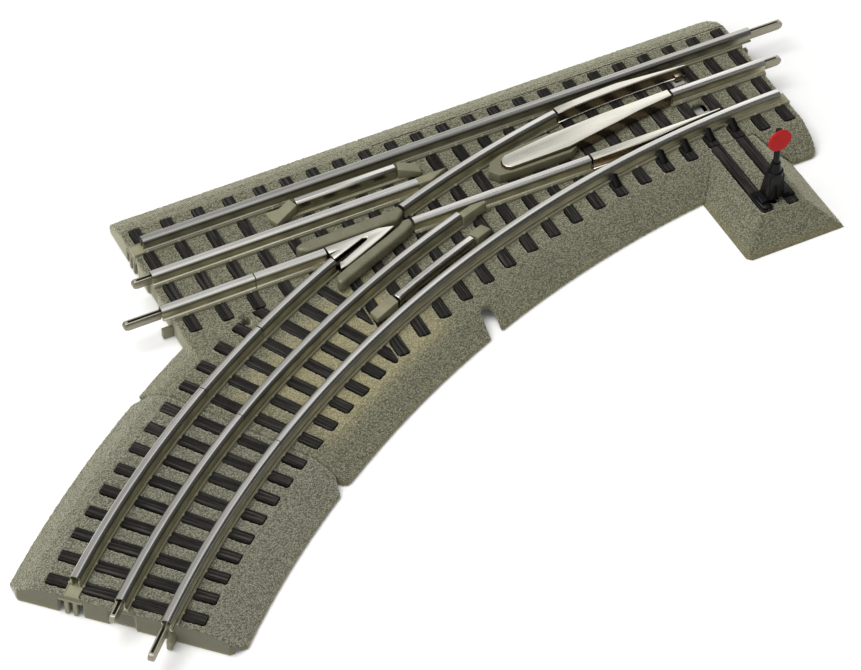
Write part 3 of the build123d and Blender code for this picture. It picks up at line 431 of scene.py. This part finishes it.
def sweep(bm, section, stations):
    """A solid bar: a closed section of (offset, height) in mm, carried along the stations."""
    grain = grain_layer(bm)
    rings = []
    travelled = 0.0
    before = stations[0][0]
    for place, (ax, ay) in stations:
        travelled += math.dist(before, place)
        before = place
        ring = []
        for u, z in section:
            vert = bm.verts.new((place[0] + ax * u * MM, place[1] + ay * u * MM, z * MM))
            vert[grain] = (u * MM, travelled, z * MM)
            ring.append(vert)
        rings.append(ring)
    for ring, following in zip(rings, rings[1:]):
        for k in range(len(section)):
            j = (k + 1) % len(section)
            bm.faces.new((ring[k], ring[j], following[j], following[k]))
    bm.faces.new(rings[0])
    bm.faces.new(list(reversed(rings[-1])))


def both_sides(half):
    """A closed section from its right-hand half, listed upwards."""
    return half + [(-u, z) for u, z in reversed(half)]


# ---------------------------------------------------------------- rails
def rail_section():
    """Rolled from sheet: thin foot flanges, a hollow web and a round-shouldered head."""
    shoulder = 1.3
    centre = 1.85 - shoulder
    outer = [(2.1, 10.0), (2.1, 10.3), (1.98, 10.44), (1.72, 10.62), (1.56, 10.95), (1.5, 11.5),
             (1.5, 12.3), (1.56, 12.7), (1.74, 13.1), (1.83, 13.4)]
    for k in range(8):
        a = math.radians(11 * k + 5)
        outer.append((centre + shoulder * math.cos(a), 13.69 + shoulder * math.sin(a)))
    outer.append((0.4, 14.998))
    inner = [(1.1, 10.0), (1.1, 12.8), (1.42, 13.5), (1.42, 14.2), (0.85, 14.6)]
    return both_sides(outer) + [(-u, z) for u, z in inner] + [(u, z) for u, z in reversed(inner)]


RAILS = {
    "far_stock_rail": straight_path(RAIL_Y, -LENGTH + STAGGER, STAGGER),
    "near_stock_rail": curve_path(-RAIL_Y, STAGGER_DEG, SWITCH_ANGLE + STAGGER_DEG - JOINT_DEG),
    "through_centre_rail": straight_path(0, -LENGTH, CENTRE_X),
    "points_centre_rail": straight_path(0, WEDGE_X, 0),
    "branch_centre_rail": curve_path(0, CENTRE_DEG, SWITCH_ANGLE - JOINT_DEG),
    "through_end_rail": straight_path(-RAIL_Y, -LENGTH - STAGGER, CUT_X - GAP / 2),
    "through_frog_rail": straight_path(-RAIL_Y, CUT_X + GAP / 2, FROG_X - GAP),
    "branch_frog_rail": curve_path(RAIL_Y, FROG_DEG + 0.05, CUT_DEG - 0.03),
    "branch_end_rail": curve_path(RAIL_Y, CUT_DEG + 0.03, SWITCH_ANGLE - STAGGER_DEG - JOINT_DEG),
    "through_closure_rail": straight_path(-RAIL_Y, WING_X, HEEL_X - HEEL_GAP),
    "branch_closure_rail": curve_path(RAIL_Y, HEEL_DEG + HEEL_GAP_DEG, WING_DEG),
    "end_section_outer_rail": curve_path(
        RAIL_Y, SWITCH_ANGLE - STAGGER_DEG + JOINT_DEG, TOTAL_ANGLE - STAGGER_DEG),
    "end_section_centre_rail": curve_path(0, SWITCH_ANGLE + JOINT_DEG, TOTAL_ANGLE),
    "end_section_inner_rail": curve_path(
        -RAIL_Y, SWITCH_ANGLE + STAGGER_DEG + JOINT_DEG, TOTAL_ANGLE + STAGGER_DEG),
}
for node, stations in RAILS.items():
    bm = bmesh.new()
    sweep(bm, rail_section(), stations)
    # The far stock rail takes the darker copy of the rail steel, a painted shade.
    metal = SHADED_RAIL if node == "far_stock_rail" else RAIL
    finish_mesh(node + "_rolled", bm, metal, (node,), sharp=50.0)


# ---------------------------------------------------------------- seats and spikes
def seat_section(half=SEAT_HALF / MM, left=True, right=True):
    """A smooth strip beside the rail's foot, with a low ridge along its left and right edges.

    A point rail closes over an edge that has no ridge."""
    edge = [(half, SEAT_FOOT), (half, RIDGE_TOP - 0.1), (half - 0.1, RIDGE_TOP),
            (half - 0.32, RIDGE_TOP), (half - 0.42, SEAT_TOP)]
    plain = [(half, SEAT_FOOT), (half, SEAT_TOP)]
    other = reversed(edge if left else plain)
    return (edge if right else plain) + [(-u, z) for u, z in other]


def spike(bm, x, y, ax, ay, u):
    """A small moulded spike head on the ridge of a seat."""
    foot = Vector((x + ax * u * MM, y + ay * u * MM, SPIKE_FOOT * MM))
    rings = []
    for r, z in ((0.62, 0.0), (0.6, 0.35), (0.42, 0.55), (0.22, 0.55), (0.16, 0.4)):
        ring = []
        for k in range(8):
            a = math.radians(45 * k + 22.5)
            ring.append(bm.verts.new(foot + Vector((r * math.cos(a), r * math.sin(a), z)) * MM))
        rings.append(ring)
    for ring, following in zip(rings, rings[1:]):
        for k in range(8):
            j = (k + 1) % 8
            bm.faces.new((ring[k], ring[j], following[j], following[k]))
    bm.faces.new(list(reversed(rings[0])))
    bm.faces.new(rings[-1])


def leg_ties():
    """Centres of the ties across the straight route, from the through end."""
    leg = [-LENGTH + END_TIE + WIDE_PITCH * k for k in range(WIDE_TIES)]
    return leg + [leg[-1] + TIE_PITCH * k for k in range(1, STRAIGHT_TIES - WIDE_TIES + 1)]


def tie_angle(k):
    """Where a radial tie of the branch lies, counted from its open end."""
    if k < END_TIES:
        return TOTAL_ANGLE - END_PITCH * (k + 0.5)
    return SWITCH_ANGLE - 0.8 - SWITCH_PITCH * (k - END_TIES)


def radial_spikes(bm, k, offset):
    """The two spikes where a radial tie of the branch passes under one of its rails."""
    a = math.radians(tie_angle(k))
    r = CURVE_R + offset
    for u in (-SPIKE_OFF, SPIKE_OFF):
        spike(bm, -r * math.sin(a), r * math.cos(a) - CURVE_R, -math.sin(a), math.cos(a), u)


SWITCH_SEATS = [
    straight_path(RAIL_Y, -LENGTH, HEEL_X),
    straight_path(0, -LENGTH, CENTRE_X + 6 * MM),
    straight_path(0, WEDGE_X - MM, 0),
    straight_path(-RAIL_Y, -LENGTH, FROG_X),
    straight_path(-RAIL_Y, WING_X, HEEL_X - HEEL_GAP / 2),
    curve_path(-RAIL_Y, inner_angle(HEEL_X), SWITCH_ANGLE),
    curve_path(0, CENTRE_DEG - 0.8, SWITCH_ANGLE),
    curve_path(RAIL_Y, FROG_DEG, SWITCH_ANGLE),
    curve_path(RAIL_Y, HEEL_DEG + HEEL_GAP_DEG / 2, WING_DEG - 0.25),
]
BRACED = (15, 17, 18, 19, 20)          # ties whose near spikes give way to a brace
bm = bmesh.new()
for stations in SWITCH_SEATS:
    sweep(bm, seat_section(), stations)
for x0, x1 in ((HEEL_X, SLOT_X[0]), (SLOT_X[1], 0)):
    sweep(bm, seat_section(left=False), straight_path(RAIL_Y, x0, x1))
    sweep(bm, seat_section(right=False), curve_path(-RAIL_Y, inner_angle(x1), inner_angle(x0)))
sweep(bm, seat_section(GUARD_SEAT_HALF, right=False), straight_path(GUARD_Y, *GUARD_SEAT_X))
for k, x in enumerate(leg_ties()):
    rows = [(RAIL_Y, -LENGTH, 0), (0, -LENGTH, CENTRE_X), (0, WEDGE_X, 0),
            (-RAIL_Y, -LENGTH, FROG_X), (-RAIL_Y, WING_X, HEEL_X)]
    for y, x0, x1 in rows:
        if x0 <= x <= x1:
            for u in (-SPIKE_OFF, SPIKE_OFF):
                if u > 0 or y < RAIL_Y or x < HEEL_X:
                    spike(bm, x, y, 0, 1, u)
    for offset, first, last in ((-RAIL_Y, 0, 19.0), (RAIL_Y, HEEL_DEG, WING_DEG)):
        r = CURVE_R + offset
        a = math.asin(-x / r) if -x < r else 2
        if first <= math.degrees(a) <= last:
            for u in (-SPIKE_OFF, SPIKE_OFF):
                under_point = u > 0 and offset < 0 and x > HEEL_X
                if not under_point and (u > 0 or offset > 0 or k not in BRACED):
                    spike(bm, x, r * math.cos(a) - CURVE_R, -math.sin(a), math.cos(a), u)
for k in range(END_TIES, RADIAL_TIES):
    for offset, first in ((-RAIL_Y, 19.0), (0, 24.0), (RAIL_Y, 29.0)):
        if tie_angle(k) > first:
            radial_spikes(bm, k, offset)
finish_mesh("switch_rail_seats", bm, SEAT)

bm = bmesh.new()
for offset in (RAIL_Y, 0, -RAIL_Y):
    sweep(bm, seat_section(), curve_path(offset, SWITCH_ANGLE + JOINT_DEG, TOTAL_ANGLE))
    for k in range(END_TIES):
        radial_spikes(bm, k, offset)
finish_mesh("end_section_rail_seats", bm, SEAT)


# ---------------------------------------------------------------- ties
def tie(bm, place, v0, v1, seed):
    """A tie with a grained, slightly worn top. place turns (u across, v along) into a plan point."""
    grain = grain_layer(bm)
    columns = 14
    rows = max(2, round((v1 - v0) / (1.0 * MM)))
    top = []
    for i in range(rows + 1):
        v = v0 + (v1 - v0) * i / rows
        line = []
        for j in range(columns + 1):
            u = TIE_W * (j / columns - 0.5)
            lines = noise.noise(Vector((u * 1700 + seed * 5.1, v * 60, seed * 2.7)))
            broad = noise.noise(Vector((u * 500 - seed, v * 60 + seed, 3.3)))
            drop = 0.22 * MM * (0.5 - lines) + 0.06 * MM * (0.5 - broad)
            if j in (0, columns):
                drop += 0.06 * MM
            x, y = place(u, v)
            vert = bm.verts.new((x, y, TIE_Z - drop))
            vert[grain] = (u, v, seed * 0.013)
            line.append(vert)
        top.append(line)
    for line, following in zip(top, top[1:]):
        for j in range(columns):
            bm.faces.new((line[j], line[j + 1], following[j + 1], following[j]))
    rim = [top[0][j] for j in range(columns + 1)]
    rim += [top[i][columns] for i in range(1, rows + 1)]
    rim += [top[rows][j] for j in range(columns - 1, -1, -1)]
    rim += [top[i][0] for i in range(rows - 1, 0, -1)]
    low = []
    for vert in rim:
        copy = bm.verts.new((vert.co.x, vert.co.y, TIE_LOW))
        copy[grain] = vert[grain] + Vector((0, 0, 0.003))
        low.append(copy)
    for k in range(len(rim)):
        j = (k + 1) % len(rim)
        bm.faces.new((rim[j], rim[k], low[k], low[j]))
    bm.faces.new(low)


def straight_place(x):
    return lambda u, v: (x + u, v)


def radial_place(angle):
    a = math.radians(angle)

    def place(u, v):
        r = CURVE_R + v
        return (-r * math.sin(a) + u * math.cos(a), r * math.cos(a) - CURVE_R + u * math.sin(a))
    return place


def near_end(x):
    """The near end of a straight tie: it reaches past the branch's inner rail."""
    if x < -195 * MM:
        return -TIE_HALF
    r = CURVE_R - TIE_HALF
    end = math.sqrt(r * r - x * x) - CURVE_R
    under_stand = abs(x + 31.25 * MM) < 7 * MM
    return max(end, -28.4 * MM) if under_stand else end


def bar_strip(bm, stations, low=6.0):
    """A strip that joins the ties of a moulding below the deck."""
    sweep(bm, [(-1.0, low), (1.0, low), (1.0, 6.9), (-1.0, 6.9)], stations)


def cut_away(bm, point, normal):
    """Removes what lies on the side that the normal points to, and closes the cut."""
    geometry = bm.verts[:] + bm.edges[:] + bm.faces[:]
    made = bmesh.ops.bisect_plane(bm, geom=geometry, plane_co=point, plane_no=normal, clear_outer=True)
    edges = [e for e in made["geom_cut"] if isinstance(e, bmesh.types.BMEdge)]
    if edges:
        bmesh.ops.contextual_create(bm, geom=edges)


bm = bmesh.new()
for k, x in enumerate(leg_ties()):
    tie(bm, straight_place(x), near_end(x), TIE_HALF, k + 1)
limit_x = leg_ties()[WIDE_TIES] - TIE_W / 2 - 1.2 * MM
for k in range(END_TIES, RADIAL_TIES):
    one = bmesh.new()
    tie(one, radial_place(tie_angle(k)), -TIE_HALF, TIE_HALF, 40 + k)
    cut_away(one, (limit_x, 0, 0), (1, 0, 0))
    cut_away(one, (0, -TIE_HALF - 0.8 * MM, 0), (0, 1, 0))
    part = bpy.data.meshes.new("part")
    one.to_mesh(part)
    one.free()
    bm.from_mesh(part)
bar_strip(bm, straight_path(4 * MM, leg_ties()[0], leg_ties()[-1]))
bar_strip(bm, straight_path(-7 * MM, leg_ties()[0], leg_ties()[STAND_TIES[0]]))
bar_strip(bm, straight_path(-7 * MM, leg_ties()[STAND_TIES[1]], leg_ties()[-1]))
bar_strip(bm, curve_path(-9 * MM, 4.6, 33))
bar_strip(bm, curve_path(8 * MM, 23, 33))
finish_mesh("switch_ties_grained", bm, TIE, ("switch_ties",))

bm = bmesh.new()
for k in range(END_TIES):
    tie(bm, radial_place(tie_angle(k)), -TIE_HALF, TIE_HALF, 70 + k)
bar_strip(bm, curve_path(8 * MM, 34.6, 44.2))
bar_strip(bm, curve_path(-9 * MM, 34.6, 44.2))
finish_mesh("end_section_ties_grained", bm, TIE, ("end_section_ties",))

bm = bmesh.new()
for k in STAND_TIES:
    tie(bm, straight_place(leg_ties()[k]), -67.3 * MM, -28.9 * MM, 90 + k)
bar_strip(bm, straight_path(-34 * MM, *[leg_ties()[k] for k in STAND_TIES]), 6.3)
finish_mesh("stand_ties_grained", bm, TIE, ("stand_ties",))


# ---------------------------------------------------------------- ballast
def grains(co):
    """Height of the moulded stones at a point, from about -1 to 1."""
    coarse = noise.noise(co * 1000)
    fine = noise.noise(co * 1900 + Vector((7.1, 3.3, 1.7)))
    return 0.7 * coarse + 0.6 * fine


def ballast(node, material, parts=1):
    """A CAD shell with its outer faces broken up into small stones.

    The smooth seats have their own pieces, so here they sink a little below the deck."""
    bm = bmesh.new()
    bm.from_mesh(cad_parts[node].data)
    bmesh.ops.remove_doubles(bm, verts=bm.verts, dist=0.002 * MM)
    mesh = bpy.data.meshes.new(node)
    bm.to_mesh(mesh)
    bm.free()
    mesh = evaluated_mesh(mesh, "REMESH", mode="VOXEL", voxel_size=VOXEL, adaptivity=0.0)
    normals = [v.normal.copy() for v in mesh.vertices]
    for vert, normal in zip(mesh.vertices, normals):
        co = vert.co.copy()
        if co.z > DECK_Z + 0.25 * MM:
            vert.co.z = SUNK_Z
            continue
        outer = min(1.0, max(0.0, (normal.z - 0.05) / 0.25))
        if outer > 0:
            relief = 0.30 * MM * grains(co) - 0.12 * MM
            vert.co = co + normal * relief * outer
    pieces = split_mesh(mesh, parts) if parts > 1 else [mesh]
    for k, part in enumerate(pieces):
        name = f"{node}_stones_{k + 1}" if parts > 1 else f"{node}_stones"
        place_mesh(name, part, material, (node,), sharp=55)


def split_mesh(mesh, parts):
    """The mesh in slices along X, so that each slice stays a handy size."""
    xs = sorted(p.center.x for p in mesh.polygons)
    limits = [xs[len(xs) * k // parts] for k in range(1, parts)]
    slices = [[] for _ in range(parts)]
    for polygon in mesh.polygons:
        slices[sum(polygon.center.x >= limit for limit in limits)].append(polygon)
    made = []
    for polygons in slices:
        index, points, faces = {}, [], []
        for polygon in polygons:
            face = []
            for v in polygon.vertices:
                if v not in index:
                    index[v] = len(points)
                    points.append(mesh.vertices[v].co.copy())
                face.append(index[v])
            faces.append(face)
        part = bpy.data.meshes.new("slice")
        part.from_pydata(points, [], faces)
        made.append(part)
    return made


VOXEL = 0.55 * MM
ballast("roadbed_shell", BALLAST, parts=3)
ballast("far_shoulder", BALLAST)
ballast("stand_platform", BALLAST)
ballast("end_section_shell", END_BALLAST)

# ---------------------------------------------------------------- guard rails, frog and wedge
rounded("far_guard_rail", STEEL, bevel=0.3, segments=3)
rounded("near_guard_rail", STEEL, bevel=0.3, segments=3)
rounded("guard_lead_ins", OLIVE, bevel=0.35, segments=3)
rounded("centre_rail_ramps", OLIVE, bevel=0.3, segments=3)
rounded("far_wing_rail", DARK_OLIVE, bevel=1.1, segments=4)
rounded("near_wing_rail", DARK_OLIVE, bevel=1.1, segments=4)
rounded("wedge_rim", DARK_OLIVE, bevel=0.5, segments=3)
rounded("frog_plate", FROG, bevel=0.15)
rounded("centre_wedge", NICKEL, bevel=0.25, segments=3)

# ---------------------------------------------------------------- points and mechanism
rounded("near_point", NICKEL, "near_point", bevel=0.12)
rounded("far_point", NICKEL, "far_point", bevel=0.12)
rounded("throw_bar", GREY, "throw_bar", bevel=0.12)
rounded("heel_pivots", SMALL_STEEL, bevel=0.1)
rounded("detent_spring", SMALL_STEEL, bevel=0.04)
rounded("mechanism_cover", BLACK, bevel=0.2)
rounded("cover_screws", SMALL_STEEL, bevel=0.08)
rounded("bus_strips", BRASS, bevel=0.05)

# ---------------------------------------------------------------- stand and target
rounded("stand_tower", BLACK, bevel=0.22, segments=3)
rounded("target_mast", BLACK, "target", bevel=0.2, segments=3)
rounded("target_disc", RED, "target", bevel=0.08)
rounded("target_crank", BLACK, "target", bevel=0.1)
rounded("rail_braces", BLACK, bevel=0.12)

# ---------------------------------------------------------------- joints to other track
rounded("long_joiner_pins", PIN_STEEL, bevel=0.12, segments=2)
rounded("short_joiner_pins", PIN_STEEL, bevel=0.12, segments=2)
rounded("track_latches", OLIVE, bevel=0.2)

# ---------------------------------------------------------------- studio
floor_mesh = bpy.data.meshes.new("studio_floor")
reach = 4.0
floor_mesh.from_pydata([(-reach, -reach, 0), (reach, -reach, 0), (reach, reach, 0), (-reach, reach, 0)],
                       [], [(0, 1, 2, 3)])
floor = bpy.data.objects.new("studio_floor", floor_mesh)
bpy.context.scene.collection.objects.link(floor)
floor.location.z = -0.0002
floor_paper = Tree("studio_paper", Roughness=0.9, Base_Color=(0.9, 0.9, 0.9, 1.0))
floor_mesh.materials.append(floor_paper.material)


def studio_world():
    """Soft surroundings: a bright right-hand back wall, and a dark corner at the right front."""
    world = bpy.data.worlds.new("studio")
    bpy.context.scene.world = world
    world.use_nodes = True
    nodes = world.node_tree.nodes
    links = world.node_tree.links

    def graded(socket, *stops):
        ramp = nodes.new("ShaderNodeValToRGB")
        while len(ramp.color_ramp.elements) < len(stops):
            ramp.color_ramp.elements.new(0.5)
        for element, (at, value) in zip(ramp.color_ramp.elements, stops):
            element.position = at
            element.color = (value, value * 0.995, value * 0.975, 1.0)
        links.new(socket, ramp.inputs["Fac"])
        return ramp.outputs["Color"]

    split = nodes.new("ShaderNodeSeparateXYZ")
    links.new(nodes.new("ShaderNodeTexCoord").outputs["Generated"], split.inputs[0])
    back = graded(split.outputs["X"], (0.20, 0.34), (0.30, 0.66), (0.38, 1.08))
    front = graded(split.outputs["X"], (0.28, 0.95), (0.36, 0.06))
    blend = nodes.new("ShaderNodeMix")
    blend.data_type = "RGBA"
    links.new(graded(split.outputs["Y"], (0.32, 0.0), (0.52, 1.0)), blend.inputs[0])
    links.new(front, blend.inputs[6])
    links.new(back, blend.inputs[7])
    background = nodes["Background"]
    links.new(blend.outputs[2], background.inputs["Color"])
    background.inputs["Strength"].default_value = 1.0


studio_world()


def softbox(name, location, target, width, height, power):
    light = bpy.data.lights.new(name, "AREA")
    light.shape = "RECTANGLE"
    light.size = width
    light.size_y = height
    light.energy = power
    lamp = bpy.data.objects.new(name, light)
    bpy.context.scene.collection.objects.link(lamp)
    lamp.location = location
    lamp.rotation_euler = (Vector(target) - Vector(location)).to_track_quat("-Z", "Y").to_euler()
    return lamp


softbox("key_softbox", (-0.70, 0.05, 1.4), (-0.15, -0.03, 0.0), 0.9, 0.9, 16.0)

# ---------------------------------------------------------------- camera
camera_data = bpy.data.cameras.new("camera")
camera_data.lens = 145.46
camera_data.sensor_width = 36.0
camera_data.sensor_fit = "HORIZONTAL"
camera_data.clip_start = 0.01
camera = bpy.data.objects.new("camera", camera_data)
bpy.context.scene.collection.objects.link(camera)
forward = Vector((0.309217, 0.618933, -0.722015)).normalized()
right = forward.cross(Vector((0.325571, 0.644449, 0.691873))).normalized()
up = right.cross(forward)
turn = Matrix((right, up, -forward)).transposed()
camera.matrix_world = Matrix.Translation((-0.55696, -0.83050, 0.89896)) @ turn.to_4x4()
bpy.context.scene.camera = camera
bpy.context.scene.view_settings.view_transform = "Standard"

bpy.context.view_layer.update()
